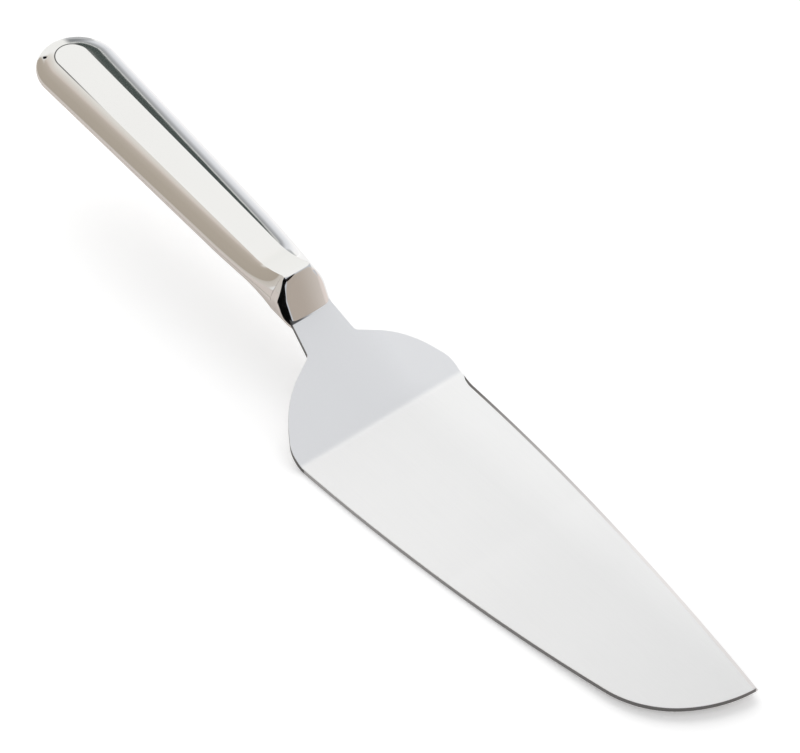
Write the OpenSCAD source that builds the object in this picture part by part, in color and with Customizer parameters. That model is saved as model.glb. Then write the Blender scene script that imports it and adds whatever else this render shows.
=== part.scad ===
// Cake server: a sheet steel blade with a bent up shoulder, set in a polished hollow handle.
// The flat of the blade lies on the table, X points at the tip and Y at the ground edge.

/* [Blade] */
// Length over all, from the butt of the handle to the tip
overall_length = 281; // [270:1:300]
// Length of the flat, from the bend to the tip
flat_length = 133; // [125:1:140]
// Width of the blade at the bend
blade_width = 56; // [50:0.5:60]
// Thickness of the sheet
sheet = 1.5; // [1.2:0.1:1.8]
// Radius of the two long edges, seen from above
edge_radius = 730; // [600:10:1500]
// Distance behind the bend at which the long edges would be widest
edge_setback = 19; // [5:1:30]
// Radius of the curved front, as a multiple of the tip's distance from the middle line
front_roundness = 2.94; // [2.9:0.01:3.4]
// Lean of the front curve at the tip, in degrees
front_lean = 5; // [0:0.5:10]
// Radius where the near edge runs into the front curve, as a share of the front's radius
front_corner_share = 0.78; // [0.5:0.01:0.85]
// Height of the tip's underside above the table
tip_rise = 2.2; // [1:0.1:4]
// Share of the flat that touches the table
rest_share = 0.4; // [0.3:0.05:0.6]
// Width of the bevel ground on the far edge
bevel_width = 1.5; // [0.8:0.1:2.5]
// Thickness left at the ground edge
bevel_edge = 0.4; // [0.2:0.05:0.8]
// Length over which the bevel runs in next to the bend
bevel_run_in = 4; // [2:0.5:8]

/* [Shoulder and neck] */
// Slope of the shoulder above the flat, in degrees
shoulder_slope = 30.7; // [28:0.5:33]
// Radius on the inside of the bend
bend_radius = 4; // [2:0.5:6]
// Length of the slope, from the bend to the bolster
slope_length = 34.9; // [33:0.5:38]
// Width of the neck at the bolster
neck_width = 13.8; // [12:0.2:15]
// Width of the neck at its root, where it meets the shoulder
neck_root_width = 16.4; // [15:0.2:18]
// Level distance from the bend back to the root of the neck
neck_root_back = 21.6; // [21:0.2:24]
// Distance from the side of the blade in to the outer corners of the shoulder
shoulder_inset = 7.1; // [6.5:0.1:8]
// Level distance from the bend back to the outer corners of the shoulder
shoulder_back = 15.4; // [14.4:0.2:16]
// Level distance from the bend back to where the shoulder is full width
full_width_back = 4.5; // [4:0.5:5]
// Radius in the root of the neck
root_radius = 1.6; // [0.8:0.1:2]
// Radius of the shoulder's long curve
shoulder_radius = 30; // [20:1:31]
// Radius where the shoulder reaches full width
full_width_radius = 8; // [4:0.5:9]

/* [Handle] */
// Tilt of the handle above the table, in degrees
handle_tilt = 7.4; // [6:0.2:9]
// Half width at the bolster if the long taper ran straight on
front_half = 9; // [8.8:0.1:10]
// Half width at the bolster, where the handle narrows
bolster_half = 7.9; // [7.8:0.1:8.4]
// Length over which the handle narrows to the bolster
narrowing_length = 25; // [20:1:30]
// Radius of the round butt
butt_radius = 12.2; // [11:0.1:14]
// Half width of the flat panel along the middle of the handle
panel_half = 4.2; // [3.5:0.1:4.8]
// Half width of the flat panel at its round end
panel_end_half = 5; // [4.4:0.1:6]
// Gap between the round end of the panel and the end of the butt
panel_margin = 4; // [3:0.2:6]
// Height of the upper panel above the rim at the butt
upper_butt = 2.1; // [1.8:0.1:3]
// Height of the upper panel above the rim in front of the flare
upper_front = 2.9; // [2.4:0.1:4]
// Depth of the lower panel below the rim at the butt
lower_butt = 3; // [2.4:0.1:4]
// Depth of the lower panel below the rim in front of the flare
lower_front = 4.2; // [3:0.1:5]
// Roundness of the sides, where 1 is straight, 2 an ellipse and more is squarer
side_power = 2.6; // [2:0.1:3]
// Thickness of the handle's two shells
wall = 0.5; // [0.4:0.05:0.7]
// Diameter of the vent hole in the butt
vent_diameter = 1.2; // [0.8:0.1:1.6]
// Distance of the vent hole from the middle line of the handle
vent_offset = 6.4; // [5:0.2:7]
// Distance of the vent hole in from the rim of the butt
vent_inset = 2.2; // [2:0.1:2.6]

/* [Bolster] */
// Height of the bolster's crest above the rim
crest_height = 6.7; // [6:0.1:8]
// Half width of the flat at the crest
crest_half = 4.4; // [4:0.1:4.8]
// Roundness of the bolster's sides above the rim
crest_power = 1.2; // [1:0.1:2]
// Roundness of the bolster's sides below the rim
belly_power = 4; // [3.8:0.2:5]
// Depth of the bolster below the rim
bolster_depth = 7.2; // [6.8:0.1:8]
// Depth of the neck's upper face below the rim, where it leaves the bolster
joint_depth = 3.9; // [3.6:0.1:4.2]
// Length over which the handle flares up to the bolster
flare_length = 14; // [12:1:20]
// Land between the crest and the end of the shells
crest_land = 1.5; // [1:0.1:3]
// Rake of the front face from square to the handle, in degrees
face_rake = 33; // [30:1:36]
// Radius of the bolster's upright front corners
bolster_corner = 3; // [2:0.1:3.4]
// How far those corners run past the sides, so that they meet them in a soft edge
corner_relief = 0.2; // [0.1:0.05:0.5]
// Length of the spigot inside the shells
spigot_length = 8; // [6:0.5:10]
// Gap left for the braze around the spigot and in the slot
fit_gap = 0.05; // [0.02:0.01:0.1]

/* [Tang and cement] */
// Width of the tang
tang_width = 9; // [8:0.2:10]
// Length of the neck's full width inside the bolster
tongue_length = 4; // [3:0.5:5]
// Length of the slope inside the bolster, up to the tang's bend
tang_slope_length = 9; // [8.5:0.5:10]
// Radius on the inside of the tang's bend
tang_bend_radius = 4; // [3:0.5:6]
// Length of the tang behind its bend
tang_length = 28; // [20:1:34]
// Length of the cement behind the spigot
cement_length = 28; // [20:1:34]

/* [Hidden] */

// Circles are true, and the step counts share out the points on curves worked out here
$fn = 96;
corner_steps = 8;
edge_steps = 24;
rise_steps = 20;
run_in_steps = 6;
side_steps = 8;
spigot_steps = 7;
flare_steps = 5;
cement_steps = 3;
grip_steps = 5;
butt_steps = 12;

// The sheet seen from the side, with the bend at zero; the rise runs on past the tip
bend_x = overall_length / 2 - flat_length;
bend_reach = bend_radius * tan(shoulder_slope / 2);
rest_length = flat_length * rest_share;
rise_length = flat_length - rest_length;
rise_radius = (rise_length * rise_length + tip_rise * tip_rise) / (2 * tip_rise);
rise_turn = 2 * asin(rise_length / rise_radius);
rise_centre = [rest_length, rise_radius];
bend_centre = [bend_reach, sheet + bend_radius];
joint_x = -slope_length * cos(shoulder_slope);
joint_z = sheet + slope_length * sin(shoulder_slope);
slope_end = [joint_x, joint_z] + tang_slope_length * [-cos(shoulder_slope), sin(shoulder_slope)];
tang_centre = slope_end - (tang_bend_radius + sheet) * [sin(shoulder_slope), cos(shoulder_slope)];
tang_turn = shoulder_slope - handle_tilt;
tang_start = tang_centre + (tang_bend_radius + sheet) * [sin(handle_tilt), cos(handle_tilt)];
tang_end = tang_start + tang_length * [-cos(handle_tilt), sin(handle_tilt)];

// The long edges, the front and the near corner seen from above
edge_drop = edge_radius - sqrt(edge_radius * edge_radius - edge_setback * edge_setback);
far_centre = [-edge_setback, blade_width / 2 + edge_drop - edge_radius];
near_centre = [far_centre.x, -far_centre.y];
tip = [flat_length, arc_y(far_centre, edge_radius, flat_length)];
front_radius = front_roundness * tip.y;
front_corner = front_corner_share * front_radius;
front_centre = tip + front_radius * [-cos(front_lean), sin(front_lean)];
corner_centre = meet(near_centre, edge_radius - front_corner, front_centre, front_radius - front_corner);

// The shoulder and neck seen from above, from the tang forward to the bend
tongue_x = joint_x - tongue_length * cos(shoulder_slope);
tang_end_x = joint_x - (tang_slope_length + tang_bend_radius + tang_length);
neck_root = [-neck_root_back, neck_root_width / 2];
shoulder_corner = [-shoulder_back, blade_width / 2 - shoulder_inset];
full_width = [-full_width_back, arc_y(far_centre, edge_radius, -full_width_back)];
bend_corner = [0, blade_width / 2];

// The bevel: its height on the ground edge, its face, and where it stops past the tip
bevel_drop = sheet - bevel_edge;
bevel_face = norm([bevel_width, bevel_drop]);
bevel_end = flat_length + bevel_face;

// The handle's own frame: the crest above zero, X forward along the rim, lengths counted back
joint_reach = (crest_height + joint_depth) * tan(face_rake);
bolster_reach = (crest_height + bolster_depth) * tan(face_rake);
rim_x = bend_x + joint_x - joint_reach * cos(handle_tilt) + joint_depth * sin(handle_tilt);
rim_z = joint_z + joint_reach * sin(handle_tilt) + joint_depth * cos(handle_tilt);
handle_length = (rim_x + overall_length / 2) / cos(handle_tilt);
butt_centre = handle_length - butt_radius;
panel_centre = handle_length - panel_margin - panel_end_half;
side_taper = asin((butt_radius - front_half) / butt_centre);
side_end = butt_centre - butt_radius * sin(side_taper);
spigot_end = crest_land + spigot_length;
cement_end = spigot_end + cement_length;
block_half = rim_half(crest_land) + corner_relief;
vent_reach = sqrt(pow(butt_radius - vent_inset, 2) - vent_offset * vent_offset);
upper_levels = [upper_butt, upper_front, crest_height, crest_power];
lower_levels = [lower_butt, lower_front, bolster_depth, belly_power];

// Y of the upper half of a circle at one X
function arc_y(centre, radius, x) = centre.y + sqrt(radius * radius - pow(x - centre.x, 2));

// Left hand meeting point of two circles, looking from the first centre to the second
function meet(a, ra, b, rb) =
    let (
        d = norm(b - a),
        along = (ra * ra - rb * rb + d * d) / (2 * d),
        side = sqrt(ra * ra - along * along)
    )
    a + (b - a) / d * along + [-(b - a).y, (b - a).x] / d * side;

function on_circle(centre, radius, angle) = centre + radius * [cos(angle), sin(angle)];

// Points on an arc between two directions given as vectors, without the last one
function arc(centre, radius, from, to, steps) =
    let (a = atan2(from.y, from.x), b = atan2(to.y, to.x))
    [for (i = [0:steps - 1]) on_circle(centre, radius, a + (b - a) * i / steps)];

// One corner of an outline rounded by an arc that touches both of its sides
function round_corner(before, corner, after, radius) =
    let (
        u = (before - corner) / norm(before - corner),
        v = (after - corner) / norm(after - corner),
        half = acos(u * v) / 2,
        centre = corner + (u + v) / norm(u + v) * radius / sin(half),
        a = corner + u * radius / tan(half) - centre,
        b = corner + v * radius / tan(half) - centre,
        start = atan2(a.y, a.x),
        turn = atan2(a.x * b.y - a.y * b.x, a * b)
    )
    [for (i = [0:corner_steps]) on_circle(centre, radius, start + turn * i / corner_steps)];

// A run of outline points mirrored to the near side and taken backwards
function flipped(points) = [for (i = [len(points) - 1:-1:0]) [points[i].x, -points[i].y]];

// Steps between two values, without the first
function spread(from, to, steps) = [for (i = [1:steps]) from + (to - from) * i / steps];

// Seen from above, the whole sheet as if it were flat
module blade_outline() {
    far_side = concat(
        [[tang_end_x, tang_width / 2], [tongue_x, tang_width / 2]],
        [[tongue_x, neck_width / 2], [joint_x, neck_width / 2]],
        round_corner([joint_x, neck_width / 2], neck_root, shoulder_corner, root_radius),
        round_corner(neck_root, shoulder_corner, full_width, shoulder_radius),
        round_corner(shoulder_corner, full_width, bend_corner, full_width_radius)
    );
    near_corner = flipped([bend_corner]);
    corner_start = corner_centre - front_centre;
    corner_finish = corner_centre - near_centre;
    polygon(concat(
        far_side,
        arc(far_centre, edge_radius, bend_corner - far_centre, tip - far_centre, edge_steps),
        arc(front_centre, front_radius, tip - front_centre, corner_start, edge_steps),
        arc(corner_centre, front_corner, corner_start, corner_finish, corner_steps),
        arc(near_centre, edge_radius, corner_finish, near_corner[0] - near_centre, edge_steps),
        near_corner,
        flipped(far_side)
    ));
}

// Seen from above, the part of the sheet that the bolster holds, with a gap all round
module slot_outline(gap) {
    far_side = [
        [tang_end_x, tang_width / 2 + gap],
        [tongue_x - gap, tang_width / 2 + gap],
        [tongue_x - gap, neck_width / 2 + gap],
        [joint_x, neck_width / 2 + gap],
        neck_root + [0, gap]
    ];
    polygon(concat(far_side, flipped(far_side)));
}

// Points of one face of the sheet seen from the side, from the tip back to the tang's end,
// at a distance above the sheet's upper face
function sheet_face(above) = concat(
    [
        for (i = [rise_steps:-1:0])
            on_circle(rise_centre, rise_radius - sheet - above, 270 + rise_turn * i / rise_steps)
    ],
    [
        for (i = [0:corner_steps])
            on_circle(bend_centre, bend_radius - above, 270 - shoulder_slope * i / corner_steps)
    ],
    [
        for (i = [0:corner_steps])
            let (angle = 90 - shoulder_slope + tang_turn * i / corner_steps)
                on_circle(tang_centre, tang_bend_radius + sheet + above, angle)
    ],
    [tang_end + above * [sin(handle_tilt), cos(handle_tilt)]]
);

// The sheet seen from the side, with a gap on both faces
module sheet_side(gap) {
    below = sheet_face(-sheet - gap);
    polygon(concat(sheet_face(gap), [for (i = [len(below) - 1:-1:0]) below[i]]));
}

// The bent sheet: its side view pulled across, trimmed to an outline seen from above
module bent_sheet(gap)
    translate([bend_x, 0, 0])
        intersection() {
            rotate([90, 0, 0])
                linear_extrude(2 * blade_width, center = true)
                    sheet_side(gap);
            translate([0, 0, -rim_z])
                linear_extrude(4 * rim_z)
                    children();
        }

// Solid skinned over a row of equal loops of points
module loft(loops) {
    size = len(loops[0]);
    last = len(loops) - 1;
    polyhedron(
        points = [for (points = loops) each points],
        faces = concat(
            [[for (j = [0:size - 1]) j]],
            [[for (j = [size - 1:-1:0]) last * size + j]],
            [
                for (i = [0:last - 1])
                    for (j = [0:size - 1])
                        let (a = i * size + j, b = i * size + (j + 1) % size)
                            each [[a, a + size, b + size], [a, b + size, b]]
            ]
        )
    );
}

// Height of the sheet's upper face at one X
function top_z(x) =
    x < rest_length ? sheet : rise_radius - sqrt(pow(rise_radius - sheet, 2) - pow(x - rest_length, 2));

// Three corners of the bevel's grinding wedge at one X, lifted clear of the edge by a share
function wedge_loop(x, lift) =
    let (
        edge = [x, arc_y(far_centre, edge_radius, x)],
        out = (edge - far_centre) / edge_radius,
        rise = lift * bevel_width * bevel_drop / (bevel_face * bevel_face) * [bevel_drop, bevel_width],
        inner = rise + [-2 * bevel_width, bevel_drop],
        lower = rise + [bevel_width, -2 * bevel_drop],
        outer = rise + [bevel_drop, bevel_width]
    )
    [for (c = [inner, lower, outer]) [edge.x + out.x * c.x, edge.y + out.y * c.x, top_z(x) + c.y]];

// The wedge that grinds the far edge, plunging in beside the bend and running off past the tip
module grinding_wedge()
    translate([bend_x, 0, 0])
        loft(concat(
            [
                for (i = [0:run_in_steps])
                    wedge_loop(bend_reach + bevel_run_in * i / run_in_steps, 1 - sin(90 * i / run_in_steps))
            ],
            [for (x = spread(bend_reach + bevel_run_in, bevel_end, edge_steps)) wedge_loop(x, 0)]
        ));

// Places things drawn in the handle's own frame
module on_handle()
    translate([rim_x, 0, rim_z])
        rotate([0, handle_tilt, 0])
            children();

// Share of the flare, and of the narrowing, at a distance behind the crest
function flare(back) = pow(nearness(back, flare_length), 2);
function narrowing(back) = pow(nearness(back, narrowing_length), 1.5);

// 1 up to the end of the land, falling to 0 at a length behind the crest
function nearness(back, length) = min(max((length - back) / (length - crest_land), 0), 1);

// Height of a panel above the rim, from its levels at the butt, the front and the crest
function panel_height(back, levels) =
    levels[1] + (levels[0] - levels[1]) * back / handle_length + (levels[2] - levels[1]) * flare(back);

// Half width of the panel, wider towards both of its ends
function panel_side(back) =
    let (widening = max((back - flare_length) / (panel_centre - flare_length), 0))
    panel_half + (panel_end_half - panel_half) * widening + (crest_half - panel_half) * flare(back);

// Half width of the handle at the rim
function rim_half(back) =
    let (taper = front_half / cos(side_taper) + back * tan(side_taper))
    taper - (front_half - bolster_half) * narrowing(back);

// A station is a point on the rim, a point on the panel's edge and the half width there
function side_station(back, inset) =
    [[back, rim_half(back) - inset], [back, panel_side(back) - inset / 2], rim_half(back) - inset];

function butt_station(share, inset) =
    let (a = (90 + side_taper) * share - side_taper, b = 90 * share)
    [
        [butt_centre + (butt_radius - inset) * sin(a), (butt_radius - inset) * cos(a)],
        [panel_centre + (panel_end_half - inset / 2) * sin(b), (panel_end_half - inset / 2) * cos(b)],
        butt_radius - inset
    ];

// Points of one half section from the near rim over the panel to the far rim
columns = 2 * side_steps + 2;

function half_section(station, levels, inset) =
    let (
        rim = station[0],
        panel = station[1],
        height = panel_height(panel.x, levels) - inset,
        power = side_power + (levels[3] - side_power) * flare(panel.x),
        share = norm(panel - rim) / station[2],
        near = [
            for (j = [0:side_steps])
                let (
                    t = pow(j / side_steps, 2),
                    at = rim + (panel - rim) * t,
                    bulge = (1 - pow(1 - share * t, power)) / (1 - pow(1 - share, power))
                )
                [-at.x, -at.y, height * pow(bulge, 1 / power)]
        ]
    )
    concat(near, [for (j = [side_steps:-1:0]) [near[j].x, -near[j].y, near[j].z]]);

// Points of one full section, over the top and back below
function full_section(station, inset) =
    let (
        upper = half_section(station, upper_levels, inset),
        lower = half_section(station, lower_levels, inset)
    )
    concat(upper, [for (j = [columns - 2:-1:1]) [lower[j].x, lower[j].y, -lower[j].z]]);

// Distances behind the crest of the sections, from the bolster to the butt
spigot_stops = concat([crest_land], spread(crest_land, spigot_end, spigot_steps));
cement_stops = concat(
    [spigot_end],
    spread(spigot_end, flare_length, flare_steps),
    spread(flare_length, cement_end, cement_steps)
);
grip_stops = spread(cement_end, side_end, grip_steps);
shell_stops = concat(
    spigot_stops,
    [for (i = [1:len(cement_stops) - 1]) cement_stops[i]],
    [for (i = [0:grip_steps - 2]) grip_stops[i]]
);
last_row = len(shell_stops) + butt_steps;
skin_size = last_row * columns + side_steps + 1;

// Number of a skin's point, where both sides of the last row are one
function number(row, column) =
    row * columns + (row == last_row && column > side_steps ? columns - 1 - column : column);

// Two triangles of a square, leaving out one without any area
function triangles(q) =
    [
        for (t = [[q[0], q[1], q[2]], [q[0], q[2], q[3]]])
            if (t[0] != t[1] && t[1] != t[2] && t[0] != t[2]) t
    ];

function skin(levels, inset) =
    let (
        stations = concat(
            [for (back = shell_stops) side_station(back, inset)],
            [for (i = [0:butt_steps]) butt_station(i / butt_steps, inset)]
        )
    )
    [
        for (i = [0:last_row])
            let (points = half_section(stations[i], levels, inset))
                for (j = [0:i == last_row ? side_steps : columns - 1])
                    points[j]
    ];

// One stamped half of the handle, open at the rim and at the bolster
module half_shell(levels) {
    far = columns - 1;
    outside = [
        for (i = [0:last_row - 1])
            for (j = [0:far - 1])
                [number(i, j), number(i + 1, j), number(i + 1, j + 1), number(i, j + 1)]
    ];
    inside = [for (q = outside) [q[3], q[2], q[1], q[0]] + skin_size * [1, 1, 1, 1]];
    near_rim = [
        for (i = [0:last_row - 1])
            [number(i, 0), skin_size + number(i, 0), skin_size + number(i + 1, 0), number(i + 1, 0)]
    ];
    far_rim = [
        for (i = [0:last_row - 1])
            [skin_size + number(i, far), number(i, far), number(i + 1, far), skin_size + number(i + 1, far)]
    ];
    mouth = [
        for (j = [0:far - 1])
            [number(0, j), number(0, j + 1), skin_size + number(0, j + 1), skin_size + number(0, j)]
    ];
    polyhedron(
        points = concat(skin(levels, 0), skin(levels, wall)),
        faces = [for (q = concat(outside, inside, near_rim, far_rim, mouth)) each triangles(q)]
    );
}

// The block behind the raked face, with its upright front corners rounded
module raked_block() {
    depth = bolster_reach + flare_length;
    between = block_half - bolster_corner;
    rotate([0, -face_rake, 0])
        linear_extrude(4 * (crest_height + bolster_depth), center = true) {
            translate([-depth, -block_half]) square([depth - bolster_corner, 2 * block_half]);
            translate([-depth, -between]) square([depth, 2 * between]);
            for (side = [-1, 1])
                translate([-bolster_corner, side * between]) circle(bolster_corner);
        }
}

module serving_blade()
    color([0.75, 0.76, 0.77])
        difference() {
            bent_sheet(0) blade_outline();
            grinding_wedge();
        }

// The shells' outline where they end, pulled forward past the crest
module bolster_bar() {
    outline = full_section(side_station(crest_land, 0), 0);
    translate([-crest_land, 0, 0])
        rotate([90, 0, 90])
            linear_extrude(bolster_reach + 2 * crest_land)
                polygon([for (p = outline) [p.y, p.z]]);
}

module bolster()
    color([0.82, 0.82, 0.83])
        difference() {
            on_handle() {
                intersection() {
                    bolster_bar();
                    translate([0, 0, crest_height]) raked_block();
                }
                loft([
                    for (back = concat([crest_land / 2], spigot_stops))
                        full_section(side_station(back, wall + fit_gap), wall + fit_gap)
                ]);
            }
            bent_sheet(fit_gap) slot_outline(fit_gap);
        }

module upper_handle_shell()
    color([0.88, 0.88, 0.89])
        on_handle()
            difference() {
                half_shell(upper_levels);
                translate([-butt_centre - vent_reach, -vent_offset, 0])
                    cylinder(h = crest_height, d = vent_diameter);
            }

module lower_handle_shell()
    color([0.86, 0.86, 0.87])
        on_handle()
            mirror([0, 0, 1]) half_shell(lower_levels);

module tang_cement()
    color([0.45, 0.42, 0.38])
        difference() {
            on_handle()
                loft([for (back = cement_stops) full_section(side_station(back, wall), wall)]);
            bent_sheet(0) slot_outline(0);
        }

serving_blade();
bolster();
upper_handle_shell();
lower_handle_shell();
tang_cement();
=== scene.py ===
import math

import bpy
import numpy as np
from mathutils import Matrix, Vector
from mathutils.geometry import delaunay_2d_cdt


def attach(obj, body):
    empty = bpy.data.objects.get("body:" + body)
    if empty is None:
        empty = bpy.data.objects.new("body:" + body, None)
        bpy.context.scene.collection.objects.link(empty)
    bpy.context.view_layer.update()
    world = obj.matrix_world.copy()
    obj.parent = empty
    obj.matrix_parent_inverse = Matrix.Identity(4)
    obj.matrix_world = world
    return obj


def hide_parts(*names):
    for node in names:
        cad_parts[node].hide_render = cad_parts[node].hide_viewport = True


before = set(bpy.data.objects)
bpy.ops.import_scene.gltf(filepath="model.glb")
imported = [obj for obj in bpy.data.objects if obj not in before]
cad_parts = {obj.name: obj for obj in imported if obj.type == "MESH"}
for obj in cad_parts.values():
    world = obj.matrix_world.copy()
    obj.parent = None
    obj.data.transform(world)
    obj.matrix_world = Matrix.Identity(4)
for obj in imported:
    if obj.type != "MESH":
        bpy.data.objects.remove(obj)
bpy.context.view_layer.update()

# Sizes, in millimetres and degrees

OVERALL_LENGTH = 281.0
FLAT_LENGTH = 133.0
BLADE_WIDTH = 56.0
SHEET = 1.5
EDGE_RADIUS = 730.0
EDGE_SETBACK = 19.0
FRONT_ROUNDNESS = 2.94
FRONT_LEAN = math.radians(5)
CORNER_SHARE = 0.78
TIP_RISE = 2.2
REST_SHARE = 0.4
BEVEL_WIDTH = 1.5
BEVEL_DROP = 1.1
BEVEL_RUN_IN = 4.0
EDGE_SOFTNESS = 0.16

SLOPE = math.radians(30.7)
BEND_RADIUS = 4.0
SLOPE_LENGTH = 34.9
NECK_WIDTH = 13.8
NECK_ROOT_WIDTH = 16.4
NECK_ROOT_BACK = 21.6
SHOULDER_BACK = 15.4
SHOULDER_INSET = 7.1
FULL_WIDTH_BACK = 4.5
ROOT_RADIUS = 1.6
SHOULDER_RADIUS = 30.0
FULL_WIDTH_RADIUS = 8.0
TANG_WIDTH = 9.0
TONGUE_LENGTH = 4.0
TANG_SLOPE_LENGTH = 9.0
TANG_BEND_RADIUS = 4.0
TANG_LENGTH = 28.0

TILT = math.radians(7.4)
FRONT_HALF = 9.0
BOLSTER_HALF = 7.9
NARROWING_LENGTH = 25.0
BUTT_RADIUS = 12.2
PANEL_HALF = 4.2
PANEL_END_HALF = 5.0
CREST_HALF = 4.4
PANEL_MARGIN = 4.0
UPPER_HEIGHTS = (2.1, 2.9, 6.7)
LOWER_HEIGHTS = (3.0, 4.2, 7.2)
SIDE_POWER = 2.6
CREST_POWER = 1.2
BELLY_POWER = 4.0
FLARE_POWER = 2.0
NARROWING_POWER = 1.5
WALL = 0.5
VENT_DIAMETER = 1.2
VENT_OFFSET = 6.4
VENT_INSET = 2.2
CREST_LAND = 1.5
FLARE_LENGTH = 14.0
JOINT_DEPTH = 3.9
FACE_RAKE = math.radians(33)
BOLSTER_CORNER = 3.0
CORNER_RELIEF = 0.2
FACE_CROWN = 0.35
CREST_SOFTNESS = 0.2
CORNER_SOFTNESS = 1.1
SPIGOT_LENGTH = 8.0
FIT_GAP = 0.05

METRE = 1000.0
CREST = UPPER_HEIGHTS[2]
BEND_X = OVERALL_LENGTH / 2 - FLAT_LENGTH
JOINT_X = -SLOPE_LENGTH * math.cos(SLOPE)
JOINT_Z = SHEET + SLOPE_LENGTH * math.sin(SLOPE)
JOINT_REACH = (CREST + JOINT_DEPTH) * math.tan(FACE_RAKE)
RIM_X = BEND_X + JOINT_X - JOINT_REACH * math.cos(TILT) + JOINT_DEPTH * math.sin(TILT)
RIM_Z = JOINT_Z + JOINT_REACH * math.sin(TILT) + JOINT_DEPTH * math.cos(TILT)
HANDLE_LENGTH = (RIM_X + OVERALL_LENGTH / 2) / math.cos(TILT)
BUTT_CENTRE = HANDLE_LENGTH - BUTT_RADIUS
PANEL_CENTRE = HANDLE_LENGTH - PANEL_MARGIN - PANEL_END_HALF
TAPER = math.asin((BUTT_RADIUS - FRONT_HALF) / BUTT_CENTRE)
SIDE_END = BUTT_CENTRE - BUTT_RADIUS * math.sin(TAPER)


# Node wiring

class Wire:
    """A socket that adds Math nodes to its tree when it is used in an expression."""

    def __init__(self, tree, socket):
        self.tree, self.socket = tree, socket

    def maths(self, operation, *values):
        node = self.tree.nodes.new("ShaderNodeMath")
        node.operation = operation
        for slot, value in zip(node.inputs, values):
            plug(self.tree, slot, value)
        return Wire(self.tree, node.outputs[0])

    def __add__(self, other):
        return self.maths("ADD", self, other)

    def __radd__(self, other):
        return self.maths("ADD", other, self)

    def __sub__(self, other):
        return self.maths("SUBTRACT", self, other)

    def __rsub__(self, other):
        return self.maths("SUBTRACT", other, self)

    def __mul__(self, other):
        return self.maths("MULTIPLY", self, other)

    def __rmul__(self, other):
        return self.maths("MULTIPLY", other, self)

    def __truediv__(self, other):
        return self.maths("DIVIDE", self, other)

    def __rtruediv__(self, other):
        return self.maths("DIVIDE", other, self)

    def __pow__(self, other):
        return self.maths("POWER", self, other)

    def __neg__(self):
        return self.maths("MULTIPLY", self, -1.0)

    def __gt__(self, other):
        return self.maths("GREATER_THAN", self, other)

    def at_least(self, other):
        return self.maths("MAXIMUM", self, other)

    def at_most(self, other):
        return self.maths("MINIMUM", self, other)

    def sine(self):
        return self.maths("SINE", self)

    def cosine(self):
        return self.maths("COSINE", self)

    def root(self):
        return self.maths("SQRT", self)

    def size(self):
        return self.maths("ABSOLUTE", self)

    def angle_from(self, other):
        return self.maths("ARCTAN2", self, other)

    def step(self, start, end):
        """0 below start and 1 above end, with a soft rise between."""
        node = self.tree.nodes.new("ShaderNodeMapRange")
        node.interpolation_type = "SMOOTHSTEP"
        plug(self.tree, node.inputs["Value"], self)
        plug(self.tree, node.inputs["From Min"], start)
        plug(self.tree, node.inputs["From Max"], end)
        return Wire(self.tree, node.outputs[0])


def plug(tree, slot, value):
    """Links a wire into a slot, or sets the slot's own value."""
    if isinstance(value, Wire):
        tree.links.new(value.socket, slot)
    else:
        slot.default_value = value


def add(tree, kind, settings, inputs, output=0):
    """Adds one node: its settings first, then the values or wires of its sockets."""
    node = tree.nodes.new(kind)
    for name, value in settings.items():
        if name == "stops":
            ramp = node.color_ramp
            while len(ramp.elements) < len(value):
                ramp.elements.new(1.0)
            for stop, (place, colour) in zip(ramp.elements, value):
                stop.position = place
                stop.color = colour
        else:
            setattr(node, name, value)
    for name, value in inputs.items():
        plug(tree, node.inputs[name], value)
    return Wire(tree, node.outputs[output])


def grey(value):
    return (value, value, value, 1.0)


def rgb(red, green, blue):
    return (red, green, blue, 1.0)


def parts(tree, vector):
    """The three numbers of a vector."""
    split = tree.nodes.new("ShaderNodeSeparateXYZ")
    plug(tree, split.inputs[0], vector)
    return [Wire(tree, split.outputs[k]) for k in range(3)]


def blend(tree, share, low, high):
    """One colour turning into another as the share goes from 0 to 1."""
    node = tree.nodes.new("ShaderNodeMix")
    node.data_type = "RGBA"
    for name, value in (("Factor_Float", share), ("A_Color", low), ("B_Color", high)):
        plug(tree, next(i for i in node.inputs if i.identifier == name), value)
    return Wire(tree, next(o for o in node.outputs if o.identifier == "Result_Color"))


# Materials

# Satin steel: its plain finish, what its grain and its clouds add, and the painted light and shade over the
# blade.
SATIN_METALLIC = 0.45
SATIN_TONE = 0.89
SATIN_ROUGHNESS = 0.24
SATIN_TINT = (1.002, 1.006)
GRAIN_SCALE = (60.0, 4200.0, 4200.0)
GRAIN_TONE = 0.05
GRAIN_ROUGHNESS = 0.08
MARKS_SCALE = (400.0, 5200.0, 5200.0)
MARKS_HEIGHT = 0.5
CLOUD_TONE = 0.03
CLOUD_ROUGHNESS = 0.06
MIDDLE_PAINTED_SHADE = 0.045
TIP_PAINTED_SHADE = 0.055
FAR_PAINTED_LIGHT = 0.065
SLOPE_PAINTED_LIGHT = 0.03
# How far the painted dark reflection and shade on the cut edge and the painted shade where the neck leaves
# the bolster darken the steel.
EDGE_PAINTED_REFLECTION = 0.93
NECK_PAINTED_SHADE = 0.9

# Polished steel
MIRROR_TONE = 0.86
MIRROR_ROUGHNESS = 0.045
MIRROR_TINT = (0.995, 0.985)
HAZE_TONE = 0.03
HAZE_ROUGHNESS = 0.05
BUFFING_SCALE = (90.0, 2600.0, 2600.0)
# How far the painted shade in the panel's crease and the painted dark reflection under the crest darken the
# mirror.
CREASE_PAINTED_SHADE = 0.9
WEDGE_PAINTED_REFLECTION = 0.97

# Hard cement
CEMENT_BROWNS = [(0.3, rgb(0.20, 0.16, 0.12)), (0.7, rgb(0.42, 0.36, 0.29))]
CEMENT_ROUGHNESS = 0.75
SAND_ROUGHNESS = 0.2
SAND_SHARE = 0.6
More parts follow.
